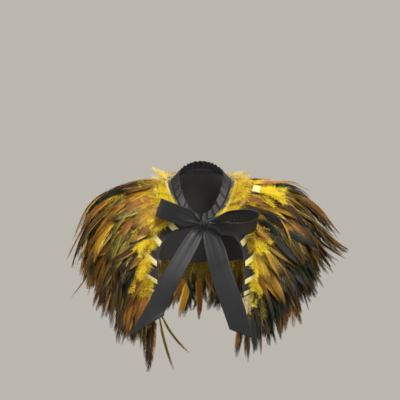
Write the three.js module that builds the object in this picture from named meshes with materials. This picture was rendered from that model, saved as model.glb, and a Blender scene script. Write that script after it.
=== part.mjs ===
// Feather cape tied at the neck with a ribbon bow, in the hollow form it takes when worn.
// Millimetres, +Z up. The origin is the middle of the neck opening, level with its two sides,
// and the front of the garment faces -Y. The wearer's left is +X.
import * as THREE from "three";

// Driving sizes
const CLOTH = 1.6; // wall of the black base cloth
const SEAM_GAP = 0.3; // between sewn pieces
const TAPE = { width: 13, thickness: 1.8, above: 1 }; // the band that holds each row's feathers
const FEATHER = { width: 25, thickness: 1.3, rootShare: 0.55, stagger: 2.4 };
const RIBBON = { width: 40, thickness: 1.2, pinchedWidth: 13 };
const COLLAR = { gathers: 30, depth: 1.5, depthAtSeam: 0.45, uneven: 0.3, seam: -0.7 };
const COLLAR_MESH = { rows: 3, stationsPerGather: 4 };
const SHOULDER_ROUND = 0.4; // 0 folds a ring sharply over the shoulder, 1 bends it evenly

// The garment is a stack of rings round the body. down is the distance along the cloth from the
// neck seam: below 0 is the neck ribbon, 225 is the cloth's hem, and the last two rings are only
// where feathers hang. Depths and heights are at centre front, the sides and centre back, and
// openHalf is half of the gap between the two front edges.
const RING_COLUMNS = [
  "down", "halfWidth", "frontDepth", "backDepth", "sideHeight", "frontHeight", "backHeight", "openHalf",
];
const RINGS = [
  [-22, 50, 50, 50, 16, -74, 44, 4],
  [0, 67, 62, 60, 0, -90, 24, 4],
  [45, 108, 84, 86, -9, -135, -14, 56],
  [90, 150, 102, 104, -22, -179, -55, 85],
  [135, 190, 116, 116, -42, -208, -98, 91],
  [180, 214, 126, 122, -78, -239, -143, 89],
  [225, 221, 133, 126, -124, -262, -188, 86],
  [300, 223, 139, 129, -199, -335, -263, 84],
  [400, 224, 142, 131, -299, -434, -363, 84],
];
const HEM = 225;

// Rows of feathers from the neck to the hem. down is the middle of the row's tape, startInset the
// bare cloth in front of the tape's end, tapeEnd the bare tape before the first feather, flare how
// far the row stands out over the wearer's left shoulder, from 0 to 1, frontStray how much longer
// one stray feather near each front edge is, atSides the share of the length at the two sides,
// sideStand the share of the standing angle there, and lean the outward lean at the front edges
// in degrees.
const ROW_COLUMNS = [
  "name", "down", "feathers", "length", "startInset", "tapeEnd", "flare", "frontStray", "atSides",
  "sideStand", "lean",
];
const ROWS = [
  ["row_1_neck", 8, 22, 103, 13, 2, 0.2, 1, 1, 0.76, 8],
  ["row_2_collarbone", 42, 30, 120, 4, 9, 0.25, 1.1, 1, 0.86, 22],
  ["row_3_shoulder", 88, 36, 130, 4, 9, 0.75, 1.1, 1, 0.9, 26],
  ["row_4_upper_arm", 134, 40, 135, 4, 9, 0.95, 1.1, 0.95, 1, 20],
  ["row_5_chest", 177, 42, 130, 4, 9, 0.5, 1.1, 0.85, 1, 10],
  ["row_6_hem", 215, 44, 122, 4, 9, 0.2, 1.36, 0.78, 1, 1],
];

// Angles between a feather and the cloth below it, at its root and towards its tip, in degrees.
const STAND_COLUMNS = ["place", "root", "tip"];
const STANDS = [
  ["front", 12, 10],
  ["back", 11, 12],
  ["rightSide", 18, 17],
  ["leftSide", 17, 54],
];

// A feather's outline from root to tip: share of its length and of its full width.
const FEATHER_OUTLINE = [
  { along: 0.15, width: 0.7 },
  { along: 0.45, width: 1 },
  { along: 0.77, width: 0.72 },
  { along: 1, width: 0 },
];
const STAND_LENGTH = 130; // feather length over which the angle turns from root to tip
const LENGTH_SPREAD = 0.12; // feathers of a row differ by this share
const STRAYS = { every: 9, longer: 1.2, fromFront: 0 };
const FLARE_REACH = 0.12; // extra length where a row stands out most
const LEAN_COLUMNS = 12; // how far from a front edge its lean is felt

// The tied ribbon. The knot is a wound barrel, and each loop a teardrop that leaves it along
// "out", with the ribbon's width along "across".
const KNOT = { centre: [7, -77.2, -95.5], halfWidth: 11, radius: 11.2, faces: 14 };
const KNOT_OUTLINE = [[0, -1], [0.6, -1], [0.9, -0.72], [1, 0], [0.9, 0.72], [0.6, 1], [0, 1]];
const LOOPS = [
  {
    name: "bow_loop_right", from: [-5.2, -80, -92], out: [-0.92, -0.13, 0.355], across: [0.31, 0, 0.95],
    length: 92, roundness: 10, ends: 3.2,
  },
  {
    name: "bow_loop_left", from: [20, -83, -93], out: [0.92, -0.4, 0.02], across: [0.1, -0.7, 0.7],
    length: 106, roundness: 25, ends: 3.4,
  },
];
const LOOP_OPENS_BY = 0.34; // share of a loop's length where the ribbon reaches its full width
const TAIL_OPENS_BY = 0.3;
const LOOP_STATIONS = 20;
const TAIL_STATIONS = 14;

// The ribbon's tails, as the two edges of the ribbon from the knot to the slanting cut end.
const TAIL_COLUMNS = ["outerX", "outerY", "outerZ", "innerX", "innerY", "innerZ"];
const TAILS = [
  {
    name: "bow_tail_right",
    rows: [
      [-4, -80, -105.6, 3, -80, -107.6],
      [-26, -99, -113, -2, -99, -133],
      [-76, -138, -190, -42, -139, -209],
      [-111, -160, -259, -72, -157, -268],
      [-148, -175, -321, -75, -164, -279],
    ],
  },
  {
    name: "bow_tail_left",
    rows: [
      [12, -80, -106.6, 5, -80, -107.6],
      [42, -97, -124, 6, -97, -139],
      [66, -137, -198, 24, -135, -214],
      [87, -156, -256, 45, -152, -271],
      [107, -168, -326, 58, -160, -308],
    ],
  },
];
const ACROSS_RIBBON = 6; // faces across the ribbon
const GATHER_DEPTH = { loop: 2, tail: 1.2 }; // soft folds where the knot pinches the ribbon

// Where the cloth panels meet: columns of points run round from the wearer's left front edge,
// over the left shoulder seam, the back and the right shoulder seam to the right front edge.
const FRONT_COLUMNS = 12;
const BACK_COLUMNS = 26;
const LAST_COLUMN = 2 * FRONT_COLUMNS + BACK_COLUMNS;

const COLOURS = { cloth: 0x0d0d10, ribbon: 0x15161a, gold: 0xe0b21c, rust: 0xa5641c, dark: 0x3d3420 };

const named = (columns, rows) => rows.map((row) => Object.fromEntries(columns.map((c, i) => [c, row[i]])));
const rings = named(RING_COLUMNS, RINGS);
const rows = named(ROW_COLUMNS, ROWS);
const stands = Object.fromEntries(named(STAND_COLUMNS, STANDS).map((s) => [s.place, s]));
const { lerp, degToRad, smoothstep } = THREE.MathUtils;

const ringCurve = new THREE.CubicInterpolant(
  rings.map((r) => r.down),
  rings.flatMap((r) => RING_COLUMNS.slice(1).map((c) => r[c])),
  RING_COLUMNS.length - 1,
);

function ringAt(down) {
  const values = ringCurve.evaluate(down);
  return Object.fromEntries(RING_COLUMNS.slice(1).map((c, i) => [c, values[i]]));
}

// A point of the cloth's outer face, turn radians round from centre front.
function onRing(down, turn) {
  const r = ringAt(down);
  const forward = Math.cos(turn);
  const [depth, height] = forward > 0 ? [r.frontDepth, r.frontHeight] : [r.backDepth, r.backHeight];
  const bend = (value) => Math.hypot(value, SHOULDER_ROUND) - SHOULDER_ROUND;
  const drop = ((height - r.sideHeight) * bend(forward)) / bend(1);
  return new THREE.Vector3(r.halfWidth * Math.sin(turn), -depth * forward, r.sideHeight + drop);
}

function turnOf(down, column) {
  const r = ringAt(down);
  const open = Math.asin(r.openHalf / r.halfWidth);
  if (column <= FRONT_COLUMNS) return lerp(open, Math.PI / 2, column / FRONT_COLUMNS);
  const fromEnd = LAST_COLUMN - column;
  if (fromEnd < FRONT_COLUMNS) return 2 * Math.PI - lerp(open, Math.PI / 2, fromEnd / FRONT_COLUMNS);
  return Math.PI / 2 + (Math.PI * (column - FRONT_COLUMNS)) / BACK_COLUMNS;
}

// A point a height above the outer face of the cloth, and the face's outward normal there.
function onCape(down, column, height = 0) {
  const [shortWay, smallTurn] = [0.5, 0.01];
  const turn = turnOf(down, column);
  const point = onRing(down, turn);
  const downward = onRing(down + shortWay, turn).sub(onRing(down - shortWay, turn));
  const round = onRing(down, turn + smallTurn).sub(onRing(down, turn - smallTurn));
  const normal = downward.cross(round).normalize();
  return { point: point.addScaledVector(normal, height), normal, turn };
}

// Numbers from -1 to 1 that look random and are the same each time.
function chance(index, kind) {
  const wave = Math.sin(index * 12.9898 + kind * 78.233) * 43758.5453;
  return 2 * (wave - Math.floor(wave)) - 1;
}

function meshFrom(name, colour, points, faces) {
  const geometry = new THREE.BufferGeometry();
  geometry.setAttribute("position", new THREE.Float32BufferAttribute(points.flatMap((p) => p.toArray()), 3));
  geometry.setIndex(faces.flat());
  geometry.computeVertexNormals();
  const material = new THREE.MeshStandardMaterial({ color: colour, roughness: 0.7, metalness: 0 });
  const mesh = new THREE.Mesh(geometry, material);
  mesh.name = name;
  return mesh;
}

// A closed wall between two grids of the same size. Grid rows run down the piece and columns
// round it, so that the outer grid's faces look outwards.
function wall(name, colour, outer, inner) {
  const columns = outer[0].length;
  const half = outer.length * columns;
  const out = (i, j) => i * columns + j;
  const into = (i, j) => half + i * columns + j;
  const faces = [];
  const quad = (a, b, c, d) => faces.push([a, b, c], [a, c, d]);
  for (let i = 0; i + 1 < outer.length; i++) {
    for (let j = 0; j + 1 < columns; j++) {
      quad(out(i, j), out(i + 1, j), out(i + 1, j + 1), out(i, j + 1));
      quad(into(i, j), into(i, j + 1), into(i + 1, j + 1), into(i + 1, j));
    }
  }
  const last = { i: outer.length - 1, j: columns - 1 };
  for (let j = 0; j < last.j; j++) {
    quad(out(0, j), out(0, j + 1), into(0, j + 1), into(0, j));
    quad(out(last.i, j + 1), out(last.i, j), into(last.i, j), into(last.i, j + 1));
  }
  for (let i = 0; i < last.i; i++) {
    quad(out(i + 1, 0), out(i, 0), into(i, 0), into(i + 1, 0));
    quad(out(i, last.j), out(i + 1, last.j), into(i + 1, last.j), into(i, last.j));
  }
  return meshFrom(name, colour, [...outer.flat(), ...inner.flat()], faces);
}

// The inner face of a thin sheet whose outer face is a grid of points.
function movedInwards(outer, thickness) {
  const at = (i, j) =>
    outer[THREE.MathUtils.clamp(i, 0, outer.length - 1)][THREE.MathUtils.clamp(j, 0, outer[0].length - 1)];
  return outer.map((line, i) =>
    line.map((point, j) => {
      const downward = at(i + 1, j).clone().sub(at(i - 1, j));
      const round = at(i, j + 1).clone().sub(at(i, j - 1));
      return point.clone().addScaledVector(downward.cross(round).normalize(), -thickness);
    }),
  );
}

// Base cloth: a back and two fronts, sewn at the shoulders. The tapes' edges are among its rows.
function basePanels() {
  const tapeEdges = rows.flatMap((r) => [r.down - TAPE.width / 2, r.down + TAPE.width / 2]);
  const downs = [0, ...tapeEdges, HEM];
  const leftSeam = FRONT_COLUMNS;
  const rightSeam = LAST_COLUMN - FRONT_COLUMNS;
  const panels = [
    ["base_front_left", 0, leftSeam],
    ["base_back", leftSeam, rightSeam],
    ["base_front_right", rightSeam, LAST_COLUMN],
  ];
  return panels.map(([name, first, last]) => {
    const grid = (height) =>
      downs.map((down) => {
        const line = [];
        for (let column = first; column <= last; column++) {
          const { point } = onCape(down, column, height);
          if (column === leftSeam || column === rightSeam) {
            point.y += ((name === "base_back" ? 1 : -1) * SEAM_GAP) / 2;
          }
          line.push(point);
        }
        return line;
      });
    return wall(name, COLOURS.cloth, grid(0), grid(-CLOTH));
  });
}

// Columns at given distances round a ring, measured from its wearer's-left front edge.
function ringRuler(down) {
  const stepsPerColumn = 4;
  const columns = [0];
  const lengths = [0];
  let before = onCape(down, 0).point;
  for (let step = 1; step <= LAST_COLUMN * stepsPerColumn; step++) {
    const { point } = onCape(down, step / stepsPerColumn);
    columns.push(step / stepsPerColumn);
    lengths.push(lengths.at(-1) + point.distanceTo(before));
    before = point;
  }
  const ruler = new THREE.LinearInterpolant(lengths, columns, 1);
  return { total: lengths.at(-1), columnAt: (distance) => ruler.evaluate(distance)[0] };
}

// How a feather stands: the angle to the cloth at its root and tip, for its place round the body.
function standOf(turn, row) {
  const sideways = Math.sin(turn);
  const forward = Math.cos(turn);
  const side = sideways > 0 ? stands.leftSide : stands.rightSide;
  const face = forward > 0 ? stands.front : stands.back;
  const share = Math.abs(sideways) ** 3;
  const sideTip = sideways > 0 ? lerp(side.root, side.tip, row.flare) : side.tip;
  return {
    root: degToRad(lerp(face.root, side.root * row.sideStand, share)),
    tip: degToRad(lerp(face.tip, sideTip * row.sideStand, share)),
  };
}

// The outward lean of a feather near a front edge, in radians towards higher columns.
function leanAt(column, degrees) {
  const near = Math.min(column, LAST_COLUMN - column);
  const share = Math.max(0, 1 - near / LEAN_COLUMNS) ** 2;
  return degToRad(degrees) * share * Math.sign(LAST_COLUMN / 2 - column);
}

// How many columns a distance round the body is.
function columnsFor(distance, down, column) {
  return distance / onCape(down, column - 0.5).point.distanceTo(onCape(down, column + 0.5).point);
}

// The middle line of a feather: how far it has gone along and above the cloth, at each share.
function featherLine(row, length, stand, stagger) {
  const steps = 20;
  const line = [{ gone: 0, height: TAPE.above + TAPE.thickness / 2 }];
  for (let step = 1; step <= steps; step++) {
    const angle = lerp(stand.root, stand.tip, (length * (step - 0.5)) / steps / STAND_LENGTH);
    const before = line.at(-1);
    line.push({
      gone: before.gone + (Math.cos(angle) * length) / steps,
      height: before.height + (Math.sin(angle) * length) / steps,
    });
  }
  return (share) => {
    const at = line[Math.round(share * steps)];
    return { gone: at.gone, height: at.height + stagger * smoothstep(share, 0, FEATHER_OUTLINE[0].along) };
  };
}

// One row of feathers on its tape, as one comb: a flat strip with blades along its lower edge.
function featherRow(row, colour) {
  const ruler = ringRuler(row.down);
  const from = row.startInset + row.tapeEnd;
  const spacing = (ruler.total - 2 * from) / row.feathers;
  const rootWidth = FEATHER.rootShare * spacing;
  const points = [];
  const faces = [];
  const add = (point) => points.push(point) - 1;
  const quad = (a, b, c, d) => faces.push([a, b, c], [a, c, d]);

  const tapeStation = (distance) => {
    const column = ruler.columnAt(distance);
    const [low, high] = [TAPE.above, TAPE.above + TAPE.thickness];
    const [upper, lower] = [row.down - TAPE.width / 2, row.down + TAPE.width / 2];
    return {
      column,
      upperOut: add(onCape(upper, column, high).point),
      lowerOut: add(onCape(lower, column, high).point),
      upperIn: add(onCape(upper, column, low).point),
      lowerIn: add(onCape(lower, column, low).point),
    };
  };
  const tapeSegment = (a, b, bare) => {
    quad(a.upperOut, a.lowerOut, b.lowerOut, b.upperOut);
    quad(a.upperIn, b.upperIn, b.lowerIn, a.lowerIn);
    quad(a.upperOut, b.upperOut, b.upperIn, a.upperIn);
    if (bare) quad(b.lowerOut, a.lowerOut, a.lowerIn, b.lowerIn);
  };
  const blade = (a, b, index) => {
    const middle = (a.column + b.column) / 2;
    const { turn } = onCape(row.down, middle);
    const fromFront = Math.min(index, row.feathers - 1 - index);
    const isStray = index % STRAYS.every === Math.floor(STRAYS.every / 2);
    const longer = fromFront === STRAYS.fromFront ? row.frontStray : isStray ? STRAYS.longer : 1;
    const reach = 1 + FLARE_REACH * row.flare * Math.max(0, Math.sin(turn)) ** 3;
    const atPlace = lerp(1, row.atSides, Math.abs(Math.sin(turn)) ** 3);
    const length = row.length * longer * reach * atPlace * (1 + LENGTH_SPREAD * chance(index, row.down));
    const stand = standOf(turn, row);
    const line = featherLine(row, length, stand, index % 2 ? FEATHER.stagger : 0);
    const lean = leanAt(middle, row.lean);
    let [outL, outR, inR, inL] = [a.lowerOut, b.lowerOut, b.lowerIn, a.lowerIn];
    let before = onCape(row.down, middle).point;
    for (const { along, width } of FEATHER_OUTLINE) {
      const { gone, height } = line(along);
      const down = row.down + TAPE.width / 2 + gone * Math.cos(lean);
      const { point, normal } = onCape(down, middle + columnsFor(gone * Math.sin(lean), down, middle), height);
      if (width === 0) {
        const tip = add(point);
        faces.push([outL, tip, outR], [inL, inR, tip], [tip, outL, inL], [outR, tip, inR]);
        return;
      }
      const side = normal.clone().cross(point.clone().sub(before)).normalize();
      const corner = (sideways, up) =>
        add(
          point.clone()
            .addScaledVector(side, (sideways * FEATHER.width * width) / 2)
            .addScaledVector(normal, (up * FEATHER.thickness) / 2),
        );
      const next = [corner(-1, 1), corner(1, 1), corner(1, -1), corner(-1, -1)];
      quad(outL, next[0], next[1], outR);
      quad(inL, inR, next[2], next[3]);
      quad(next[0], outL, inL, next[3]);
      quad(outR, next[1], next[2], inR);
      [outL, outR, inR, inL] = next;
      before = point;
    }
  };

  let station = tapeStation(row.startInset);
  quad(station.lowerOut, station.upperOut, station.upperIn, station.lowerIn);
  for (let index = 0; index < row.feathers; index++) {
    const middle = from + spacing * (index + 0.5);
    const a = tapeStation(middle - rootWidth / 2);
    const b = tapeStation(middle + rootWidth / 2);
    tapeSegment(station, a, true);
    tapeSegment(a, b, false);
    blade(a, b, index);
    station = b;
  }
  const end = tapeStation(ruler.total - row.startInset);
  tapeSegment(station, end, true);
  quad(end.upperOut, end.lowerOut, end.lowerIn, end.upperIn);
  return meshFrom(row.name, colour, points, faces);
}

// Neck ribbon: gathered on the neck seam and standing in towards the neck.
function neckRibbon() {
  const stations = COLLAR.gathers * COLLAR_MESH.stationsPerGather;
  const outer = [];
  for (let row = 0; row <= COLLAR_MESH.rows; row++) {
    const share = row / COLLAR_MESH.rows;
    const down = lerp(rings[0].down, COLLAR.seam, share);
    const line = [];
    for (let station = 0; station <= stations; station++) {
      const wave = Math.sin((2 * Math.PI * station) / COLLAR_MESH.stationsPerGather + Math.PI / 4);
      const uneven = 1 + COLLAR.uneven * chance(station, 0);
      const height = COLLAR.depth * lerp(1, COLLAR.depthAtSeam, share) * wave * uneven;
      line.push(onCape(down, (LAST_COLUMN * station) / stations, height).point);
    }
    outer.push(line);
  }
  return wall("neck_ribbon", COLOURS.ribbon, outer, movedInwards(outer, RIBBON.thickness));
}

// Soft folds across a ribbon, from -1 to 1 across it. They are as deep as pinch, and end where the
// ribbon is open.
const pinchFold = (across, pinch) => pinch * Math.cos(across * 1.5 * Math.PI);

function bowLoop({ name, from, out, across, length, roundness, ends }) {
  const outward = new THREE.Vector3(...out).normalize();
  const upward = new THREE.Vector3(...across).normalize();
  const behind = upward.clone().cross(outward).normalize();
  if (behind.y < 0) behind.negate();
  const lines = [];
  for (let i = 0; i <= ACROSS_RIBBON; i++) {
    const share = 1 - (2 * i) / ACROSS_RIBBON;
    const line = [];
    for (let station = 0; station <= LOOP_STATIONS; station++) {
      const angle = (2 * Math.PI * station) / LOOP_STATIONS;
      const reach = (1 - Math.cos(angle)) / 2;
      const pinch = 1 - smoothstep(reach, 0, LOOP_OPENS_BY);
      const apart = roundness * Math.sin(angle) * Math.sin(angle / 2) + ends * Math.cos(angle / 2);
      const halfWidth = lerp(RIBBON.width, RIBBON.pinchedWidth, pinch) / 2;
      const fold = pinchFold(share, GATHER_DEPTH.loop * pinch) * Math.cos(angle / 2);
      const point = new THREE.Vector3(...from).addScaledVector(outward, length * reach);
      line.push(point.addScaledVector(behind, apart + fold).addScaledVector(upward, share * halfWidth));
    }
    lines.push(line);
  }
  // The path leaves the knot at the back, so columns are turned round where that faces inwards.
  const outer = outward.x > 0 ? lines.map((line) => line.toReversed()) : lines;
  return wall(name, COLOURS.ribbon, outer, movedInwards(outer, RIBBON.thickness));
}

function bowTail({ name, rows: edges }) {
  const sections = named(TAIL_COLUMNS, edges);
  const edgePoint = (s, side) => new THREE.Vector3(s[side + "X"], s[side + "Y"], s[side + "Z"]);
  const edge = (side) => new THREE.CatmullRomCurve3(sections.map((section) => edgePoint(section, side)));
  const [outerEdge, innerEdge] = [edge("outer"), edge("inner")];
  const outer = [];
  for (let station = 0; station <= TAIL_STATIONS; station++) {
    const share = station / TAIL_STATIONS;
    const pinch = 1 - smoothstep(share, 0, TAIL_OPENS_BY);
    const line = [];
    for (let i = 0; i <= ACROSS_RIBBON; i++) {
      const across = i / ACROSS_RIBBON;
      const point = outerEdge.getPoint(share).lerp(innerEdge.getPoint(share), across);
      point.y -= pinchFold(2 * across - 1, GATHER_DEPTH.tail * pinch);
      line.push(point);
    }
    outer.push(sections[1].outerX < 0 ? line : line.toReversed());
  }
  return wall(name, COLOURS.ribbon, outer, movedInwards(outer, RIBBON.thickness));
}

function bowKnot() {
  const { radius, halfWidth } = KNOT;
  const outline = KNOT_OUTLINE.map(([out, along]) => new THREE.Vector2(out * radius, along * halfWidth));
  const geometry = new THREE.LatheGeometry(outline, KNOT.faces);
  const mesh = new THREE.Mesh(
    geometry,
    new THREE.MeshStandardMaterial({ color: COLOURS.ribbon, roughness: 0.35, metalness: 0 }),
  );
  mesh.name = "bow_knot";
  mesh.rotation.z = Math.PI / 2;
  mesh.position.set(...KNOT.centre);
  return mesh;
}

const cape = new THREE.Group();
const rowColours = [COLOURS.gold, COLOURS.gold, COLOURS.rust, COLOURS.rust, COLOURS.dark, COLOURS.dark];
cape.add(...basePanels());
cape.add(...rows.map((row, i) => featherRow(row, rowColours[i])));
cape.add(neckRibbon(), bowKnot(), ...LOOPS.map(bowLoop), ...TAILS.map(bowTail));

export default cape;
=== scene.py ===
# %% [markdown]
# # A feather cape with a ribbon bow
# A shoulder cape is a small sewing job: a black cloth base, bands of feathers sewn on it row by row,
# and a satin ribbon gathered round the neck and tied at the throat. Here each of those is built from
# the same short table of rings round the body, so that cloth, tapes and feathers fit each other.
# Over a thousand feathers are too many to place one object at a time. They are worked out as arrays
# with numpy and handed to Blender as one mesh for each row.

# %% Load the frame
import math

import bpy
import numpy as np
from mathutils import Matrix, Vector


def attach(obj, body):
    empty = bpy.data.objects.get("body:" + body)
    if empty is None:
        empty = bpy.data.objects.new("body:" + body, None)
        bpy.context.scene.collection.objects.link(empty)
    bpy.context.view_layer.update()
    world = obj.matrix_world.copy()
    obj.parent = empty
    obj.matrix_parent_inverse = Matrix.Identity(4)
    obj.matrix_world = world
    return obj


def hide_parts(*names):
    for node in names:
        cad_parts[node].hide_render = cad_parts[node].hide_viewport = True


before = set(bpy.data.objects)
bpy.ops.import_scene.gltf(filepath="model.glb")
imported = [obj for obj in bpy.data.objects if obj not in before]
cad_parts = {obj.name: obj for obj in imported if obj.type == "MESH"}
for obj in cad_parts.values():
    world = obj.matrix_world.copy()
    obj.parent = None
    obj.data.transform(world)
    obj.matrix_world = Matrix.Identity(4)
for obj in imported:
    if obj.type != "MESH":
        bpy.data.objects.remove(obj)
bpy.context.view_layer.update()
MM = 0.001
print("the frame holds", sorted(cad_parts))

# %% [markdown]
# ## Camera, light and floor
# The cape was photographed level with the neck, from a little over two metres. A 90 mm lens gives
# that flat, calm perspective. The light is a large soft one high on the right, with a weaker one on
# the left, so that the satin shows long soft highlights. The cape is held up at shoulder height, so
# the floor lies well below it and the pale world behind stands in for a wall.

# %% Camera, light and floor
VIEW_DISTANCE = 2.2
VIEW_CENTRE = Vector((-0.0022, 0, -0.044))
SHOULDER_HEIGHT = 1.35


def aim(thing, target):
    thing.rotation_euler = (Vector(target) - thing.location).to_track_quat("-Z", "Y").to_euler()


camera_data = bpy.data.cameras.new("camera")
camera_data.lens = 90
camera_data.sensor_width = 36
camera = bpy.data.objects.new("camera", camera_data)
camera.location = VIEW_CENTRE + Vector((0, -VIEW_DISTANCE, 0))
bpy.context.collection.objects.link(camera)
aim(camera, VIEW_CENTRE)
bpy.context.scene.camera = camera


def soft_light(name, place, size, watts, colour=(1, 1, 1)):
    data = bpy.data.lights.new(name, "AREA")
    data.shape = "DISK"
    data.size = size
    data.energy = watts
    data.color = colour
    light = bpy.data.objects.new(name, data)
    light.location = place
    bpy.context.collection.objects.link(light)
    aim(light, (0, 0, -0.12))
    return light


soft_light("key", (0.7, -1.5, 2.0), 0.9, 62, (1, 0.98, 0.95))
soft_light("fill", (-1.8, -1.6, 0.6), 1.4, 14, (0.95, 0.97, 1))
soft_light("side", (1.9, -1.3, 0.2), 1.0, 7)
soft_light("from_behind", (0.3, 1.9, 1.8), 1.2, 34)

world = bpy.data.worlds.new("pale_room")
world.use_nodes = True
world.node_tree.nodes["Background"].inputs["Color"].default_value = (0.50, 0.475, 0.425, 1)
world.node_tree.nodes["Background"].inputs["Strength"].default_value = 1
bpy.context.scene.world = world
bpy.context.scene.view_settings.view_transform = "Standard"

bpy.ops.mesh.primitive_plane_add(size=5, location=(0, 0, -SHOULDER_HEIGHT))
floor = bpy.context.object
floor.name = "floor"
floor_paint = bpy.data.materials.new("floor_paint")
floor_paint.use_nodes = True
floor_paint.node_tree.nodes["Principled BSDF"].inputs["Base Color"].default_value = (0.6, 0.57, 0.52, 1)
floor_paint.node_tree.nodes["Principled BSDF"].inputs["Roughness"].default_value = 0.8
floor.data.materials.append(floor_paint)
print("camera", VIEW_DISTANCE, "m away")

# %% [markdown]
# ## The form of the worn cloth
# A garment's form can be sculpted, simulated on a figure, or worked out from its measures. The last
# suits a cape: it is a stack of rings from the neck to the hem, and each ring needs only its half
# width, its depth in front and behind, and its heights. `down` is the way along the cloth from the
# neck seam. Between the rings a cubic curve runs through the values, as a flexible ruler would.

# %% Rings round the body, in millimetres
RING_COLUMNS = (
    "down", "half_width", "front_depth", "back_depth",
    "side_height", "front_height", "back_height", "open_half",
)
RINGS = np.array([
    (-22, 50, 50, 50, 16, -74, 44, 4),
    (0, 67, 62, 60, 0, -90, 24, 4),
    (45, 108, 84, 86, -9, -135, -14, 56),
    (90, 150, 102, 104, -22, -179, -55, 85),
    (135, 190, 116, 116, -42, -208, -98, 91),
    (180, 214, 126, 122, -78, -239, -143, 89),
    (225, 221, 133, 126, -124, -262, -188, 86),
    (300, 223, 139, 129, -199, -335, -263, 84),
    (400, 224, 142, 131, -299, -434, -363, 84),
], float)
HEM = 225
SHOULDER_ROUND = 0.4
FRONT_COLUMNS = 12
BACK_COLUMNS = 26
LAST_COLUMN = 2 * FRONT_COLUMNS + BACK_COLUMNS


def ring_at(down):
    """The ring values at each distance down the cloth, from a cubic curve through the table."""
    t = RINGS[:, 0]
    values = RINGS[:, 1:]
    down = np.clip(np.asarray(down, float), t[0], t[-1])
    i = np.clip(np.searchsorted(t, down, side="right") - 1, 0, len(t) - 2)
    first, last = i == 0, i == len(t) - 2
    before = np.where(first, 1, i - 1)
    after = np.where(last, i, np.minimum(i + 2, len(t) - 1))
    half = (t[i + 1] - t[i]) / 2
    weight_before = np.where(first, -0.5, half / np.where(first, 1, t[i] - t[before]))
    weight_after = np.where(last, -0.5, half / np.where(last, 1, t[after] - t[i + 1]))
    p = (down - t[i]) / (t[i + 1] - t[i])
    p2, p3 = p * p, p * p * p
    shares = (
        (before, -weight_before * p3 + 2 * weight_before * p2 - weight_before * p),
        (i, (1 + weight_before) * p3 + (-1.5 - 2 * weight_before) * p2 + (weight_before - 0.5) * p + 1),
        (i + 1, (-1 - weight_after) * p3 + (1.5 + weight_after) * p2 + 0.5 * p),
        (after, weight_after * p3 - weight_after * p2),
    )
    total = sum(values[row] * share[..., None] for row, share in shares)
    return dict(zip(RING_COLUMNS[1:], np.moveaxis(total, -1, 0)))


def on_ring(down, turn):
    """Points of the cloth's outer face in millimetres, turn radians round from centre front."""
    r = ring_at(down)
    forward = np.cos(turn)
    depth = np.where(forward > 0, r["front_depth"], r["back_depth"])
    height = np.where(forward > 0, r["front_height"], r["back_height"])

    def bend(value):
        return np.hypot(value, SHOULDER_ROUND) - SHOULDER_ROUND

    drop = (height - r["side_height"]) * bend(forward) / bend(1)
    return np.stack([r["half_width"] * np.sin(turn), -depth * forward, r["side_height"] + drop], -1)


def turn_of(down, column):
    r = ring_at(down)
    opening = np.arcsin(r["open_half"] / r["half_width"])
    quarter = math.pi / 2
    left = opening + (quarter - opening) * column / FRONT_COLUMNS
    right = 4 * quarter - (opening + (quarter - opening) * (LAST_COLUMN - column) / FRONT_COLUMNS)
    back = quarter + math.pi * (column - FRONT_COLUMNS) / BACK_COLUMNS
    on_right = column > LAST_COLUMN - FRONT_COLUMNS
    return np.where(column <= FRONT_COLUMNS, left, np.where(on_right, right, back))


def unit(vectors):
    return vectors / np.maximum(np.linalg.norm(vectors, axis=-1, keepdims=True), 1e-9)


def on_cape(down, column, height=0.0):
    """Points at a height above the cloth in millimetres, with the outward normals there."""
    down, column, height = np.broadcast_arrays(*(np.asarray(v, float) for v in (down, column, height)))
    turn = turn_of(down, column)
    downward = on_ring(down + 0.5, turn) - on_ring(down - 0.5, turn)
    around = on_ring(down, turn + 0.01) - on_ring(down, turn - 0.01)
    normal = unit(np.cross(downward, around))
    return on_ring(down, turn) + normal * height[..., None], normal


for edge in (0, HEM):
    print("ring at", edge, {k: round(float(v), 1) for k, v in ring_at(edge).items()})

# %% [markdown]
# ## Helpers for meshes and nodes
# Blender takes vertices and faces fastest as flat arrays, through foreach_set. A sheet of cloth is
# a grid of points that gets its thickness from a Solidify modifier. Its creases stay soft with
# smooth shading.

# %% Helpers for meshes
def mesh_piece(name, points_mm, faces, sides, material, smooth=True):
    """An object from an array of points and an array of faces that all have the same sides."""
    mesh = bpy.data.meshes.new(name)
    points = np.ascontiguousarray(points_mm, np.float32).reshape(-1, 3) * MM
    faces = np.ascontiguousarray(faces, np.int32).reshape(-1, sides)
    mesh.vertices.add(len(points))
    mesh.vertices.foreach_set("co", points.ravel())
    mesh.loops.add(faces.size)
    mesh.loops.foreach_set("vertex_index", faces.ravel())
    mesh.polygons.add(len(faces))
    mesh.polygons.foreach_set("loop_start", np.arange(0, faces.size, sides, dtype=np.int32))
    mesh.update(calc_edges=True)
    mesh.polygons.foreach_set("use_smooth", np.full(len(faces), smooth))
    mesh.materials.append(material)
    piece = bpy.data.objects.new(name, mesh)
    bpy.context.collection.objects.link(piece)
    return piece


def grid_faces(rows, columns):
    at = np.arange(rows * columns).reshape(rows, columns)
    corners = (at[:-1, :-1], at[1:, :-1], at[1:, 1:], at[:-1, 1:])
    return np.stack([c.ravel() for c in corners], -1)


def add_uv(piece, name, per_point):
    """A UV map from one pair of numbers for each point of the mesh."""
    layer = piece.data.uv_layers.new(name=name)
    corner_points = np.empty(len(piece.data.loops), np.int32)
    piece.data.loops.foreach_get("vertex_index", corner_points)
    layer.uv.foreach_set("vector", np.asarray(per_point, np.float32)[corner_points].ravel())
    return layer


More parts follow.
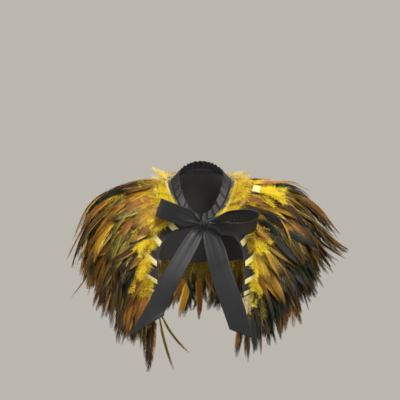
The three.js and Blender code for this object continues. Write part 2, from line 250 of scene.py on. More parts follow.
def cloth_piece(name, grid_mm, thickness_mm, material, outwards=True):
    """A thin sheet on a grid of outer points, with its flat sizes in metres as its UV map."""
    rows, columns = grid_mm.shape[:2]
    faces = grid_faces(rows, columns)
    piece = mesh_piece(name, grid_mm, faces if outwards else faces[:, ::-1], 4, material)
    along = np.zeros((rows, columns))
    along[1:] = np.cumsum(np.linalg.norm(np.diff(grid_mm, axis=0), axis=-1), axis=0)
    across = np.zeros((rows, columns))
    across[:, 1:] = np.cumsum(np.linalg.norm(np.diff(grid_mm, axis=1), axis=-1), axis=1)
    add_uv(piece, "cut", np.stack([across.ravel(), along.ravel()], -1) * MM)
    solidify = piece.modifiers.new("thickness", "SOLIDIFY")
    solidify.thickness = thickness_mm * MM
    solidify.offset = -1
    return piece


def smoothstep(x, low, high):
    x = np.clip((np.asarray(x, float) - low) / (high - low), 0, 1)
    return x * x * (3 - 2 * x)


# %% Helpers for material nodes
def new_material(name, roughness, **inputs):
    material = bpy.data.materials.new(name)
    material.use_nodes = True
    shader = material.node_tree.nodes["Principled BSDF"]
    shader.inputs["Roughness"].default_value = roughness
    for key, value in inputs.items():
        shader.inputs[key.replace("_", " ")].default_value = value
    return material, shader


def node(material, kind, values=(), **settings):
    made = material.node_tree.nodes.new("ShaderNode" + kind)
    for key, value in settings.items():
        setattr(made, key, value)
    for key, value in dict(values).items():
        if isinstance(value, bpy.types.NodeSocket):
            material.node_tree.links.new(value, made.inputs[key])
        else:
            made.inputs[key].default_value = value
    return made


def link(material, output, target):
    material.node_tree.links.new(output, target)


# %% [markdown]
# ## Black cloth and black satin
# The base is a plain matt cotton: nearly black, with a fine plain weave that only shows close up.
# Satin ribbon is the opposite. Its threads lie nearly flat and all one way, so it has broad soft
# highlights, a dark grey lift where it turns to the light, and fine ribs across its width. A weak
# sheen gives the lift, and a wave texture on the cut's own sizes gives the ribs.

# %% Black cloth and black satin
def cut_coordinates(material):
    return node(material, "UVMap", uv_map="cut").outputs["UV"]


def black_cloth():
    material, shader = new_material("base_cloth", 0.86, Sheen_Weight=0.25, Sheen_Roughness=0.6)
    place = cut_coordinates(material)
    threads = [
        node(material, "TexWave", {"Vector": place, "Scale": 620, "Distortion": 0.6}, bands_direction=way)
        for way in ("X", "Y")
    ]
    across, along = (thread.outputs["Fac"] for thread in threads)
    weave = node(material, "Math", {0: across, 1: along}, operation="MULTIPLY")
    slubs = node(material, "TexNoise", {"Vector": place, "Scale": 90, "Detail": 4})
    shade = node(material, "Mix", {"Factor": slubs.outputs["Fac"]}, data_type="RGBA")
    shade.inputs["A"].default_value = (0.008, 0.008, 0.009, 1)
    shade.inputs["B"].default_value = (0.020, 0.020, 0.022, 1)
    relief = {"Height": weave.outputs["Value"], "Strength": 0.35, "Distance": 0.0003}
    bump = node(material, "Bump", relief)
    link(material, shade.outputs["Result"], shader.inputs["Base Color"])
    link(material, bump.outputs["Normal"], shader.inputs["Normal"])
    return material


def black_satin():
    material, shader = new_material(
        "satin_ribbon", 0.45, Sheen_Weight=0.14, Sheen_Roughness=0.4, Anisotropic=0.3,
        Specular_IOR_Level=0.36,
    )
    shader.inputs["Sheen Tint"].default_value = (0.8, 0.85, 0.95, 1)
    place = cut_coordinates(material)
    rib_values = {"Vector": place, "Scale": 500, "Distortion": 0.8, "Detail": 2}
    ribs = node(material, "TexWave", rib_values, bands_direction="Y")
    cloudy = node(material, "TexNoise", {"Vector": place, "Scale": 55, "Detail": 3})
    shade = node(material, "Mix", {"Factor": cloudy.outputs["Fac"]}, data_type="RGBA")
    shade.inputs["A"].default_value = (0.007, 0.0075, 0.009, 1)
    shade.inputs["B"].default_value = (0.013, 0.014, 0.017, 1)
    gloss = node(material, "MapRange", {"Value": cloudy.outputs["Fac"], "To Min": 0.4, "To Max": 0.55})
    bump = node(material, "Bump", {"Height": ribs.outputs["Fac"], "Strength": 0.12, "Distance": 0.0002})
    link(material, shade.outputs["Result"], shader.inputs["Base Color"])
    link(material, gloss.outputs["Result"], shader.inputs["Roughness"])
    link(material, bump.outputs["Normal"], shader.inputs["Normal"])
    return material


CLOTH_LOOK = black_cloth()
SATIN_LOOK = black_satin()
print("made", CLOTH_LOOK.name, "and", SATIN_LOOK.name)

# %% [markdown]
# ## Base cloth
# On the real cape the base is cut as a back and two fronts that meet on the shoulders. Each front
# leaves the neck at the throat and then curves away, so that the cape hangs open. A panel is the
# ring form seen between two columns, as a thin shell. Its front edge is bound with a narrow tape,
# which is a small roll along the edge.

# %% Base cloth
BASE_THICKNESS = 1.0
SEAM_HALF_GAP = 0.15
# First and last column of each cut piece.
PANELS = {
    "base_front_left": (0, FRONT_COLUMNS),
    "base_back": (FRONT_COLUMNS, LAST_COLUMN - FRONT_COLUMNS),
    "base_front_right": (LAST_COLUMN - FRONT_COLUMNS, LAST_COLUMN),
}


def base_panel(name, first, last):
    downs = np.linspace(0, HEM, 61)
    columns = np.linspace(first, last, 4 * (last - first) + 1)
    grid, normal = on_cape(downs[:, None], columns[None, :])
    ripple = 0.5 * np.sin(columns * 2.3)[None, :] * smoothstep(downs, 150, HEM)[:, None] - 0.5
    grid = grid + normal * ripple[..., None]
    for side, column in ((0, first), (-1, last)):
        if column in (FRONT_COLUMNS, LAST_COLUMN - FRONT_COLUMNS):
            grid[:, side, 1] += SEAM_HALF_GAP if name == "base_back" else -SEAM_HALF_GAP
    return cloth_piece(name + "_cloth", grid, BASE_THICKNESS, CLOTH_LOOK)


base_pieces = {name: base_panel(name, *span) for name, span in PANELS.items()}


def edge_binding(name, downs, columns, radius=1.5):
    """A narrow binding rolled over a cloth edge, as a tube of eight sides along it."""
    line, normal = on_cape(downs, columns, -0.9)
    tangent = unit(np.gradient(line, axis=0))
    side = np.cross(tangent, normal)
    angles = np.linspace(0, 2 * math.pi, 9)
    ring = [radius * (np.cos(a) * normal * 0.75 + np.sin(a) * side) for a in angles]
    grid = line[:, None, :] + np.stack(ring, 1)
    rows, sides = grid.shape[:2]
    piece = mesh_piece(name, grid, grid_faces(rows, sides), 4, CLOTH_LOOK)
    along = np.concatenate([[0], np.cumsum(np.linalg.norm(np.diff(line, axis=0), axis=1))])
    cut = np.meshgrid(angles * radius, along)
    add_uv(piece, "cut", np.stack([c.ravel() for c in cut], -1) * MM)
    return piece


edge_downs = np.linspace(1, HEM, 110)
back_columns = np.linspace(*PANELS["base_back"], 150)
bindings = {
    "base_front_left": edge_binding("front_edge_left", edge_downs, np.full(110, 0.0)),
    "base_front_right": edge_binding("front_edge_right", edge_downs, np.full(110, float(LAST_COLUMN))),
    "base_back": edge_binding("hem_back", np.full(150, float(HEM)), back_columns),
}
for name, piece in base_pieces.items():
    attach(piece, "root")
    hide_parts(name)
    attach(bindings[name], "root")
print("base panels:", ", ".join(base_pieces))

# %% [markdown]
# ## Where the rows lie
# Feather trim is sold by the length: feathers are sewn side by side into a woven tape. The cape has
# six rows of it, each of them hiding the tape of the row below. The same table as in the frame says
# where each tape lies, how long its feathers are, and how far it stands out over one shoulder.
# A ruler laid round a ring turns a distance along the tape into a column.

# %% Rows of feather trim
ROW_COLUMNS = (
    "name", "down", "locks", "length", "start_inset", "tape_end", "flare", "front_stray", "at_sides",
    "side_stand", "lean",
)
ROWS = [dict(zip(ROW_COLUMNS, row)) for row in (
    ("row_1_neck", 8, 22, 103, 13, 2, 0.2, 1, 1, 0.76, 8),
    ("row_2_collarbone", 42, 30, 120, 4, 9, 0.25, 1.1, 1, 0.86, 22),
    ("row_3_shoulder", 88, 36, 130, 4, 9, 0.75, 1.1, 1, 0.9, 26),
    ("row_4_upper_arm", 134, 40, 135, 4, 9, 0.95, 1.1, 0.95, 1, 20),
    ("row_5_chest", 177, 42, 130, 4, 9, 0.5, 1.1, 0.85, 1, 10),
    ("row_6_hem", 215, 44, 122, 4, 9, 0.2, 1.36, 0.78, 1, 1),
)]
TAPE_WIDTH = 13
TAPE_TOP = 2.8
STANDS = {"front": (12, 10), "back": (11, 12), "right_side": (18, 17), "left_side": (17, 54)}
STAND_LENGTH = 130
FLARE_REACH = 0.17


def ring_ruler(down):
    """The length round a ring from the wearer's left front edge, and columns at distances on it."""
    columns = np.linspace(0, LAST_COLUMN, 401)
    points, _ = on_cape(down, columns)
    lengths = np.concatenate([[0], np.cumsum(np.linalg.norm(np.diff(points, axis=0), axis=1))])
    return lengths[-1], lambda distance: np.interp(distance, lengths, columns)


for row in ROWS:
    row["total"], row["column_at"] = ring_ruler(row["down"])
    print(row["name"], "tape", round(row["total"] - 2 * row["start_inset"]), "mm")

# %% [markdown]
# ## The tied bow
# A bow is one ribbon: a loop, the knot round it, another loop and two tails. One loop lies nearly
# flat, and the other stands round and open, so that its dark inside shows. The ribbon is pinched
# where it enters the knot, and long creases run out from there and fade. Each loop is a closed path
# of its own with the ribbon's width laid across it. The tails hang between two edge curves, and
# their ends are cut on a slant.

# %% Bow loops
RIBBON_WIDTH = 40
RIBBON_THICKNESS = 0.7
PINCHED_WIDTH = 13
LOOP_OPENS_BY = 0.34
LOOPS = (
    {
        "name": "bow_loop_right", "from": (-5.2, -80, -92), "out": (-0.92, -0.13, 0.355),
        "across": (0.31, 0, 0.95), "length": 92, "roundness": 10, "ends": 3.2, "crease": 1.0,
    },
    {
        "name": "bow_loop_left", "from": (20, -83, -93), "out": (0.92, -0.4, 0.02),
        "across": (0.1, -0.7, 0.7), "length": 106, "roundness": 25, "ends": 3.4, "crease": 1.3,
    },
)


def creases(across, seed):
    """Long folds across the ribbon from -1 to 1: a few uneven troughs."""
    broad = np.cos(across * 4.7 + seed)
    return broad + 0.5 * np.cos(across * 9.1 + 2 * seed) + 0.3 * np.cos(across * 15 - seed)


def loop_grid(loop):
    out = unit(np.array(loop["out"], float))
    across_way = unit(np.array(loop["across"], float))
    behind = unit(np.cross(across_way, out))
    behind = behind if behind[1] > 0 else -behind
    angle = np.linspace(0, 2 * math.pi, 97)[None, :]
    share = np.linspace(1, -1, 25)[:, None]
    reach = (1 - np.cos(angle)) / 2
    pinch = 1 - smoothstep(reach, 0, LOOP_OPENS_BY)
    apart = loop["roundness"] * np.sin(angle) * np.sin(angle / 2) + loop["ends"] * np.cos(angle / 2)
    half_width = (RIBBON_WIDTH + (PINCHED_WIDTH - RIBBON_WIDTH) * pinch) / 2
    fade = (1 - smoothstep(reach, 0.05, 0.85)) * loop["crease"]
    fold = creases(share, 1.3 * loop["crease"]) * fade * (0.9 + 0.8 * pinch)
    bow_out = 1.2 * np.sin(share * 2.2 + 0.6) * smoothstep(reach, 0.3, 1)
    grid = np.array(loop["from"], float) + out * (loop["length"] * reach + 0 * share)[..., None]
    grid = grid + behind * (apart + fold * np.cos(angle / 2) + bow_out * np.cos(angle / 2))[..., None]
    grid = grid + across_way * (share * half_width)[..., None]
    return grid[:, ::-1] if out[0] > 0 else grid


# %% Bow tails
TAIL_OPENS_BY = 0.3
TAIL_EDGES = {
    "bow_tail_right": np.array([
        (-4, -80, -105.6, 3, -80, -107.6),
        (-26, -99, -113, -2, -99, -133),
        (-76, -138, -190, -42, -139, -209),
        (-111, -160, -259, -72, -157, -268),
        (-148, -175, -321, -75, -164, -279),
    ], float),
    "bow_tail_left": np.array([
        (12, -80, -106.6, 5, -80, -107.6),
        (42, -97, -124, 6, -97, -139),
        (66, -137, -198, 24, -135, -214),
        (87, -156, -256, 45, -152, -271),
        (107, -168, -326, 58, -160, -308),
    ], float),
}


def through(points, shares):
    """A smooth curve through a few points, at shares from 0 to 1 of the way."""
    count = len(points) - 1
    padded = np.vstack([2 * points[0] - points[1], points, 2 * points[-1] - points[-2]])
    place = np.clip(np.asarray(shares) * count, 0, count - 1e-6)
    i = place.astype(int)
    t = (place - i)[:, None]
    a, b, c, d = (padded[i + k] for k in range(4))
    square, cube = 2 * a - 5 * b + 4 * c - d, 3 * b - a - 3 * c + d
    return 0.5 * (2 * b + (c - a) * t + square * t ** 2 + cube * t ** 3)


def tail_grid(edges):
    along = np.linspace(0, 1, 61)
    outer, inner = through(edges[:, :3], along), through(edges[:, 3:], along)
    across = np.linspace(0, 1, 21)
    grid = outer[:, None] * (1 - across)[None, :, None] + inner[:, None] * across[None, :, None]
    pinch = 1 - smoothstep(along, 0, TAIL_OPENS_BY)
    fade = 1 - smoothstep(along, 0.05, 0.6)
    fold = creases(2 * across[None, :] - 1, 0.8) * (0.55 * fade + 0.7 * pinch)[:, None]
    roll = 1.6 * np.sin(along * 5 + 1)[:, None] * (np.abs(2 * across - 1) ** 2)[None, :]
    grid[..., 1] -= fold + roll * smoothstep(along, 0.1, 0.4)[:, None]
    return grid[:, ::-1] if edges[1, 0] > 0 else grid


# %% Bow knot
KNOT_CENTRE = (7, -77.2, -95.5)
KNOT_HALF_WIDTH = 11
KNOT_RADIUS = 11.2


def bow_knot():
    """The ribbon wound tight round the loops: a small barrel with its folds running round it."""
    along = np.linspace(-1, 1, 61)[:, None]
    angle = np.linspace(0, 2 * math.pi, 97)[None, :]
    belly = np.clip(1 - np.abs(along) ** 3, 0, 1) ** 0.4
    slant = along + 0.32 * np.sin(angle + 0.4)
    fold = 0.10 * np.cos(2.6 * math.pi * slant) + 0.05 * np.cos(6.7 * math.pi * slant + 1)
    radius = KNOT_RADIUS * belly * (0.90 + fold * np.clip(1.3 - np.abs(along), 0, 1))
    x = KNOT_CENTRE[0] + KNOT_HALF_WIDTH * along * (0.92 + 0.06 * np.cos(2 * angle))
    y = KNOT_CENTRE[1] - radius * np.cos(angle)
    z = KNOT_CENTRE[2] + radius * np.sin(angle)
    grid = np.stack([x, y, z], -1)
    piece = mesh_piece("bow_knot_satin", grid, grid_faces(*grid.shape[:2])[:, ::-1], 4, SATIN_LOOK)
    cut = np.broadcast_arrays(KNOT_HALF_WIDTH * along, KNOT_RADIUS * angle)
    add_uv(piece, "cut", np.stack(cut, -1).reshape(-1, 2) * MM)
    return piece


ribbon_grids = {loop["name"]: loop_grid(loop) for loop in LOOPS}
ribbon_grids.update({name: tail_grid(edges) for name, edges in TAIL_EDGES.items()})
bow_pieces = {
    name: cloth_piece(name + "_satin", grid, RIBBON_THICKNESS, SATIN_LOOK)
    for name, grid in ribbon_grids.items()
}
bow_pieces["bow_knot"] = bow_knot()
for name, piece in bow_pieces.items():
    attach(piece, "root")
    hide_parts(name)
print("bow:", ", ".join(bow_pieces))

# %% [markdown]
# ## One feather as small strips
# A feather is a shaft with barbs that leave it at a slant. The barbs hook together into a smooth
# vane towards the tip, with a few splits, and are loose down near the root. A picture on a card
# would do from far off, but here the vane is built from narrow slanted strips, and the down from
# curved hairs. Light then catches each strip, and the edges are ragged as on a real feather.
# Eight such feathers and five plumes of down, drawn flat with chance from a fixed seed, serve for all.

# %% Feather templates
CHANCE = np.random.default_rng(41)
VANE_FROM = 0.30
STRIPS = 26
# Across a strip: how far out it is, and where its two edges lie there in strip widths.
VANE_LINES = ((0, -0.5, 0.8), (0.45, -0.5, 0.78), (0.76, -0.4, 0.7), (0.93, -0.15, 0.5))
DOWN_HAIRS = 20
HAIR_STEPS = 3


class Flat:
    """Points of a flat feather: along the shaft from 0 to 1, across and up in half widths."""

    def __init__(self):
        self.points, self.faces, self.look = [], [], []

    def add(self, point, look):
        self.points.append(point)
        self.look.append(look)
        return len(self.points) - 1

    def arrays(self):
        return np.array(self.points, float), np.array(self.faces, np.int32), np.array(self.look, float)


def vane_width(s):
    """Half width of the vane at each share of the length: full up to a half, then a leaf's point."""
    rise = smoothstep(s, 0.16, 0.45)
    fall = max(0.0, 1 - ((s - 0.48) / 0.53) ** 2.7) if s > 0.48 else 1
    return (0.6 + 0.4 * rise) * fall


# look is (kind, position across, streak): kind 0 is vane, 1 is down, 2 is shaft.
def add_shaft(flat, width=0.045):
    steps = 9
    previous = None
    for step in range(steps + 1):
        s = step / steps * 0.98
        half = width * (1 - 0.85 * s)
        line = [flat.add((s, x, z), (2, 0, 0)) for x, z in ((-half, 0.02), (0, 0.06), (half, 0.02))]
        if previous:
            for k in (0, 1):
                a, b, c, d = previous[k], line[k], line[k + 1], previous[k + 1]
                flat.faces += [(a, b, c), (a, c, d)]
        previous = line


def add_vane(flat, slanted, roughness):
    for side in (-1, 1):
        split = 0.0
        for strip in range(STRIPS):
            s = VANE_FROM + (0.97 - VANE_FROM) * (strip + 0.5 * CHANCE.random()) / STRIPS
            if CHANCE.random() < 0.08:
                split = CHANCE.uniform(0.015, 0.04)
            split *= 0.7
            slant = (0.15 - 0.05 * s) * slanted + split
            reach = vane_width(min(s + slant * 0.6, 1)) * CHANCE.uniform(0.95, 1.03)
            body = (0.97 - VANE_FROM) / STRIPS
            streak = CHANCE.random()
            lift = 0.03 * CHANCE.standard_normal() * roughness
            pairs = []
            for out, back, front in VANE_LINES:
                height = 0.03 * (1 - out) + lift * out * 2
                look = (0, out, streak)
                pairs.append([
                    flat.add((min(s + slant * out + k * body, 1), side * reach * out, height), look)
                    for k in (back, front)
                ])
            tip = flat.add((min(s + slant * 1.1, 1.0), side * reach, lift * 2.4), (0, 1, streak))
            for near, far in zip(pairs, pairs[1:]):
                flat.faces += [(near[0], far[0], far[1]), (near[0], far[1], near[1])]
            flat.faces.append((pairs[-1][0], tip, pairs[-1][1]))


def add_down(flat, hairs, start, end, reach, thick=0.035):
    for side in (-1, 1):
        for hair in range(hairs):
            s = start + (end - start) * (hair + CHANCE.random()) / hairs
            fullness = 0.75 + 0.5 * math.sin(math.pi * (s - start) / (end - start))
            length = reach * CHANCE.uniform(0.6, 1.15) * fullness
            slant = CHANCE.uniform(0.02, 0.16)
            curl = CHANCE.uniform(-0.05, 0.07)
            lift = CHANCE.uniform(-0.12, 0.5)
            shade = CHANCE.random()
            previous = None
            for step in range(HAIR_STEPS + 1):
                t = step / HAIR_STEPS
                middle = (s + slant * t + curl * t * t, side * length * t ** 0.9, lift * t * t)
                half = thick * (1 - 0.8 * t) * 0.12
                if step == HAIR_STEPS:
                    tip = flat.add(middle, (1, t, shade))
                    flat.faces.append((previous[0], tip, previous[1]))
                    break
                x, y, z = middle
                pair = [flat.add((x + k * half, y, z), (1, t, shade)) for k in (-1, 1)]
                if previous:
                    flat.faces += [(previous[0], pair[0], pair[1]), (previous[0], pair[1], previous[1])]
                previous = pair


def full_feather(slant, roughness):
    flat = Flat()
    add_shaft(flat)
    add_vane(flat, slant, roughness)
    add_down(flat, DOWN_HAIRS, 0.03, 0.42, 1.15)
    return flat.arrays()


def down_plume():
    flat = Flat()
    add_down(flat, 34, 0.02, 0.86, 1.0, 0.06)
    return flat.arrays()


FULL = [full_feather(CHANCE.uniform(0.8, 1.5), CHANCE.uniform(0.4, 1.4)) for _ in range(8)]
PLUMES = [down_plume() for _ in range(5)]
print("a feather has", len(FULL[0][1]), "faces, a plume of down", len(PLUMES[0][1]))

# %% [markdown]
# ## How a feather hangs
# Each feather leaves its tape at a low angle and bends away from the cloth. The angles at the root
# and the tip depend on where it is: nearly flat in front and behind, and standing out over one
# shoulder, where the cape was fluffed up. The shaft's line is summed up step by step from those
# angles, all feathers of a row at once, and every point of the flat feather is carried onto it.

# %% How the ribbon presses on feathers
MAP_LOW = np.array([-180, -360])
MAP_SIZE = (330, 340)
RIBBON_CLEARANCE = 3.5


def finer(grid, times=4):
    """The same surface with more points, in even steps between the old ones."""
    for axis in (0, 1):
        count = grid.shape[axis]
        place = np.linspace(0, count - 1, times * (count - 1) + 1)
        low = np.minimum(place.astype(int), count - 2)
        part = (place - low).reshape((-1, 1, 1) if axis == 0 else (1, -1, 1))
        grid = np.take(grid, low, axis) * (1 - part) + np.take(grid, low + 1, axis) * part
    return grid


def ribbon_map():
    """How far back the ribbon's rear face lies at each millimetre of the front view."""
    depth = np.full(MAP_SIZE, -np.inf)
    for grid in ribbon_grids.values():
        fine = finer(grid).reshape(-1, 3)
        cell = np.round(fine[:, [0, 2]] - MAP_LOW).astype(int)
        np.maximum.at(depth, (cell[:, 0], cell[:, 1]), fine[:, 1])
    return depth


RIBBON_DEPTH = ribbon_map()


def pressed_under_ribbon(line):
    """Feathers that would pass in front of the ribbon are pressed back behind it."""
    cell = np.round(line[..., [0, 2]] - MAP_LOW).astype(int)
    inside = ((cell >= 0) & (cell < MAP_SIZE)).all(-1)
    cell = np.clip(cell, 0, np.array(MAP_SIZE) - 1)
    limit = np.where(inside, RIBBON_DEPTH[cell[..., 0], cell[..., 1]] + RIBBON_CLEARANCE, -np.inf)
    push = np.maximum(0, limit - line[..., 1])
    for _ in range(3):
        beside = np.pad(push, ((0, 0), (1, 1)), mode="edge")
        push = np.maximum(push, (beside[:, :-2] + beside[:, 2:]) / 2 * 0.9)
    line = line.copy()
    line[..., 1] += push
    return line


print("the ribbon covers", int(np.isfinite(RIBBON_DEPTH).sum()), "square millimetres of the front")

# %% Carry flat feathers onto the cape
LINE_STEPS = 16


def stand_angles(turn, row):
    sideways, forward = np.sin(turn), np.cos(turn)
    share = np.abs(sideways) ** 3
    face = np.where((forward > 0)[:, None], STANDS["front"], STANDS["back"])
    left_root, left_tip = STANDS["left_side"]
    left = np.array([left_root, left_root + (left_tip - left_root) * row["flare"]])
    side = np.where((sideways > 0)[:, None], left, STANDS["right_side"]) * row["side_stand"]
    return np.radians(face + (side - face) * share[:, None])


def hang(feathers, templates, row):
    """Points of all the feathers, with the template points' looks repeated for each."""
    column, down = feathers["column"], feathers["down"]
    turn = turn_of(down, column)
    angles = stand_angles(turn, row) + feathers["tilt"][:, None]
    length, width = feathers["length"], feathers["width"]
    share = np.linspace(0, 1, LINE_STEPS + 1)
    gone = (share[1:] + share[:-1]) / 2 * length[:, None]
    angle = angles[:, :1] + (angles[:, 1:] - angles[:, :1]) * gone / STAND_LENGTH
    step = length[:, None] / LINE_STEPS
    zero = np.zeros((len(column), 1))
    heights = feathers["height"][:, None] + np.hstack([zero, np.cumsum(np.sin(angle) * step, 1)])
    lean = feathers["lean"][:, None] + feathers["bend"][:, None] * share
    forward = np.cos(angle) * step
    downs = down[:, None] + np.hstack([zero, np.cumsum(np.cos(lean[:, 1:]) * forward, 1)])
    sideways = np.hstack([zero, np.cumsum(np.sin(lean[:, 1:]) * forward, 1)])
    before, after = (on_cape(downs, column[:, None] + k)[0] for k in (-0.5, 0.5))
    columns = column[:, None] + sideways / np.linalg.norm(after - before, axis=-1)
    line, normal = on_cape(downs, np.clip(columns, -3, LAST_COLUMN + 3), np.maximum(heights, 0.6))
    line = pressed_under_ribbon(line)
    tangent = unit(np.gradient(line, axis=1))
    side = unit(np.cross(normal, tangent))
    normal = np.cross(tangent, side)
    roll = feathers["roll"][:, None, None]
    level = side
    side = level * np.cos(roll) + normal * np.sin(roll)
    normal = normal * np.cos(roll) - level * np.sin(roll)

    points, faces, looks, owners, flats = [], [], [], [], []
    start = 0
    for index in range(len(templates)):
        mine = np.nonzero(feathers["template"] == index)[0]
        if not len(mine):
            continue
        flat, flat_faces, look = templates[index]
        place = flat[:, 0] * LINE_STEPS
        low = np.minimum(place.astype(int), LINE_STEPS - 1)
        part = (place - low)[None, :, None]

        def between(values):
            return values[mine][:, low] * (1 - part) + values[mine][:, low + 1] * part

        half = width[mine][:, None, None] / 2
        cup = feathers["cup"][mine][:, None, None] * flat[None, :, 1:2] ** 2
        shape = between(line) + between(side) * half * flat[None, :, 1:2]
        shape = shape + between(normal) * half * (flat[None, :, 2:3] + cup)
        count = len(flat)
        firsts = start + np.arange(len(mine)) * count
        points.append(shape.reshape(-1, 3))
        faces.append((flat_faces[None] + firsts[:, None, None]).reshape(-1, 3))
        looks.append(np.tile(look, (len(mine), 1)))
        flats.append(np.tile(flat, (len(mine), 1)))
        owners.append(np.repeat(mine, count))
        start += len(mine) * count
    return tuple(np.concatenate(part) for part in (points, faces, looks, flats, owners))


# %% [markdown]
# ## Colours of the feathers
# The feathers are dyed yellow over natural rooster colours. At the root the down takes the dye
# fully and is a strong yellow. Further out the natural colour wins: gold, rust and brown, olive
# with pale edges, and a black that turns green in the light. Each kind is a short row of colours:
# the down, the middle of the vane, its edge, and the tip. Neighbours tend to be alike, because
# feathers of one bird are sewn together, so the kind follows a slow wave along the row.

# %% Colours of the feathers
# Each colour is linear red, green and blue.
KIND_COLUMNS = ("name", "down", "middle", "edge", "tip")
KINDS = [dict(zip(KIND_COLUMNS, kind)) for kind in (
    ("gold", (0.92, 0.66, 0.030), (0.41, 0.205, 0.012), (0.80, 0.54, 0.050), (0.22, 0.11, 0.010)),
    ("rust", (0.86, 0.57, 0.028), (0.24, 0.084, 0.008), (0.52, 0.27, 0.028), (0.075, 0.028, 0.006)),
    ("brown", (0.74, 0.47, 0.025), (0.044, 0.018, 0.005), (0.40, 0.19, 0.028), (0.024, 0.010, 0.005)),
    ("olive", (0.80, 0.60, 0.045), (0.048, 0.031, 0.007), (0.50, 0.35, 0.065), (0.064, 0.040, 0.009)),
    # The black's faint green in the middle of the vane is painted sheen, the green that black feathers
    # show in the light.
    ("black", (0.22, 0.15, 0.016), (0.011, 0.014, 0.009), (0.056, 0.052, 0.024), (0.007, 0.007, 0.005)),
    ("barred", (0.80, 0.60, 0.040), (0.020, 0.016, 0.008), (0.55, 0.42, 0.050), (0.030, 0.022, 0.008)),
)]
KIND_TABLE = np.array([[kind[c] for c in KIND_COLUMNS[1:]] for kind in KINDS])
GOLD, RUST, BROWN, OLIVE, BLACK, BARRED = range(len(KINDS))
UNDYED_DOWN = np.array((0.045, 0.034, 0.022))


# Where bunches of darker (above 0) or brighter feathers were sewn in: row, column, spread, amount.
BUNCHES = (
    (0, 3, 3, -0.7), (0, 47, 3, -0.7), (0, 10, 1.2, 0.5), (0, 39.5, 1.2, 0.9),
    (1, 1.2, 1.2, -0.4), (1, 4.4, 1.3, 1.0), (1, 7.5, 2, -0.5), (1, 11, 1, 0.6),
    (1, 40, 1.4, 0.9), (1, 43.5, 1.6, -0.5), (1, 47.2, 1.2, 1.4),
    (2, 1.2, 1.4, -0.6), (2, 4.7, 1.7, 1.0), (2, 8.2, 1.4, 0.0), (2, 11.5, 1.5, 0.4),
    (2, 40.5, 2, -0.6), (2, 45, 1.4, -0.3), (2, 47.8, 1.5, 1.5),
    (3, 1.8, 1.4, -0.5), (3, 4.9, 1.8, 1.1), (3, 8, 1.4, 0.4), (3, 11, 1.5, 0.5),
    (3, 40, 1.6, -0.8), (3, 43.8, 1.5, -0.5), (3, 46.9, 1.2, 1.4), (3, 49.3, 1, -0.9),
    (4, 1.4, 1.7, 1.6), (4, 3.8, 1, -0.1), (4, 6, 1.5, 0.9), (4, 9.5, 1.8, 0.4),
    (4, 41, 3, -0.8), (4, 46.4, 1.2, 0.5), (4, 49, 1.2, -0.6),
    (5, 1.4, 1.9, 1.5), (5, 3.9, 1.2, 0.1), (5, 6.8, 1.8, 0.8),
    (5, 42, 3, -0.8), (5, 48.5, 1.6, -0.1),
)


def choose_kinds(row_number, column, rng):
    """A kind for each feather: slow waves along the row, more dark ones lower down."""
    slow = np.sin(column * 0.55 + row_number * 1.7) + 0.7 * np.sin(column * 1.25 + row_number * 0.9)
    shown = sum(
        amount * np.exp(-((column - middle) / spread) ** 2)
        for row, middle, spread, amount in BUNCHES if row == row_number
    )
    dark = 0.1 * row_number + 0.2 * slow + shown + 0.45 * rng.standard_normal(len(column))
    near_front = np.minimum(column, LAST_COLUMN - column) < 2.2
    dark = dark - 0.5 * near_front * (row_number < 4)
    kinds = np.select(
        [dark < -0.4, dark < 0.22, dark < 0.5, dark < 1.0], [GOLD, RUST, BROWN, OLIVE], default=BLACK,
    )
    speckled_bunch = (row_number in (1, 2)) * (np.abs(column - 45) < 1.8)
    return np.where(rng.random(len(column)) < 0.55 * speckled_bunch, BARRED, kinds)


def colour_points(feathers, looks, flats, owners):
    kind = feathers["kind"][owners]
    table = KIND_TABLE[kind]
    along, across = flats[:, 0], np.abs(flats[:, 1])
    role, streak = looks[:, 0], looks[:, 2]
    edge = smoothstep(looks[:, 1] - np.where(flats[:, 1] > 0, 0.42, 0.7), 0, 0.3)[:, None]
    bar_wave = np.sin(along * 62 - across * 4 + 3 * np.sin(owners * 1.7) + 2 * streak)
    bars = smoothstep(bar_wave, -0.1, 0.5)[:, None]
    edge = np.where((kind == BARRED)[:, None], np.maximum(edge, 0.8 * bars), edge)
    vane = table[:, 1] * (1 - edge) + table[:, 2] * edge
    to_tip = smoothstep(along + 0.08 * streak, 0.72, 1.0)[:, None]
    vane = vane * (1 - to_tip) + table[:, 3] * to_tip
    past_dye = along + 0.10 * streak + 0.05 * across - feathers["dyed"][owners]
    dye = 1 - smoothstep(past_dye, -0.2, 0.02)[:, None]
    vane = vane * (1 - dye) + table[:, 0] * dye
    down = table[:, 0] * (0.85 + 0.3 * streak)[:, None]
    dyed_well = np.clip(feathers["dyed"][owners] / 0.25, 0, 1)[:, None]
    down = down * dyed_well + UNDYED_DOWN * (1 - dyed_well)
    shaft = table[:, 2] * 0.9 + 0.02
    colour = np.where((role == 1)[:, None], down, np.where((role == 2)[:, None], shaft, vane))
    own = feathers["shade"][owners]
    colour = colour * own[:, None] * (0.9 + 0.2 * streak)[:, None]
    gloss = np.where(role == 1, 0.9, 0.47)
    return np.clip(colour, 0.002, 0.95), gloss


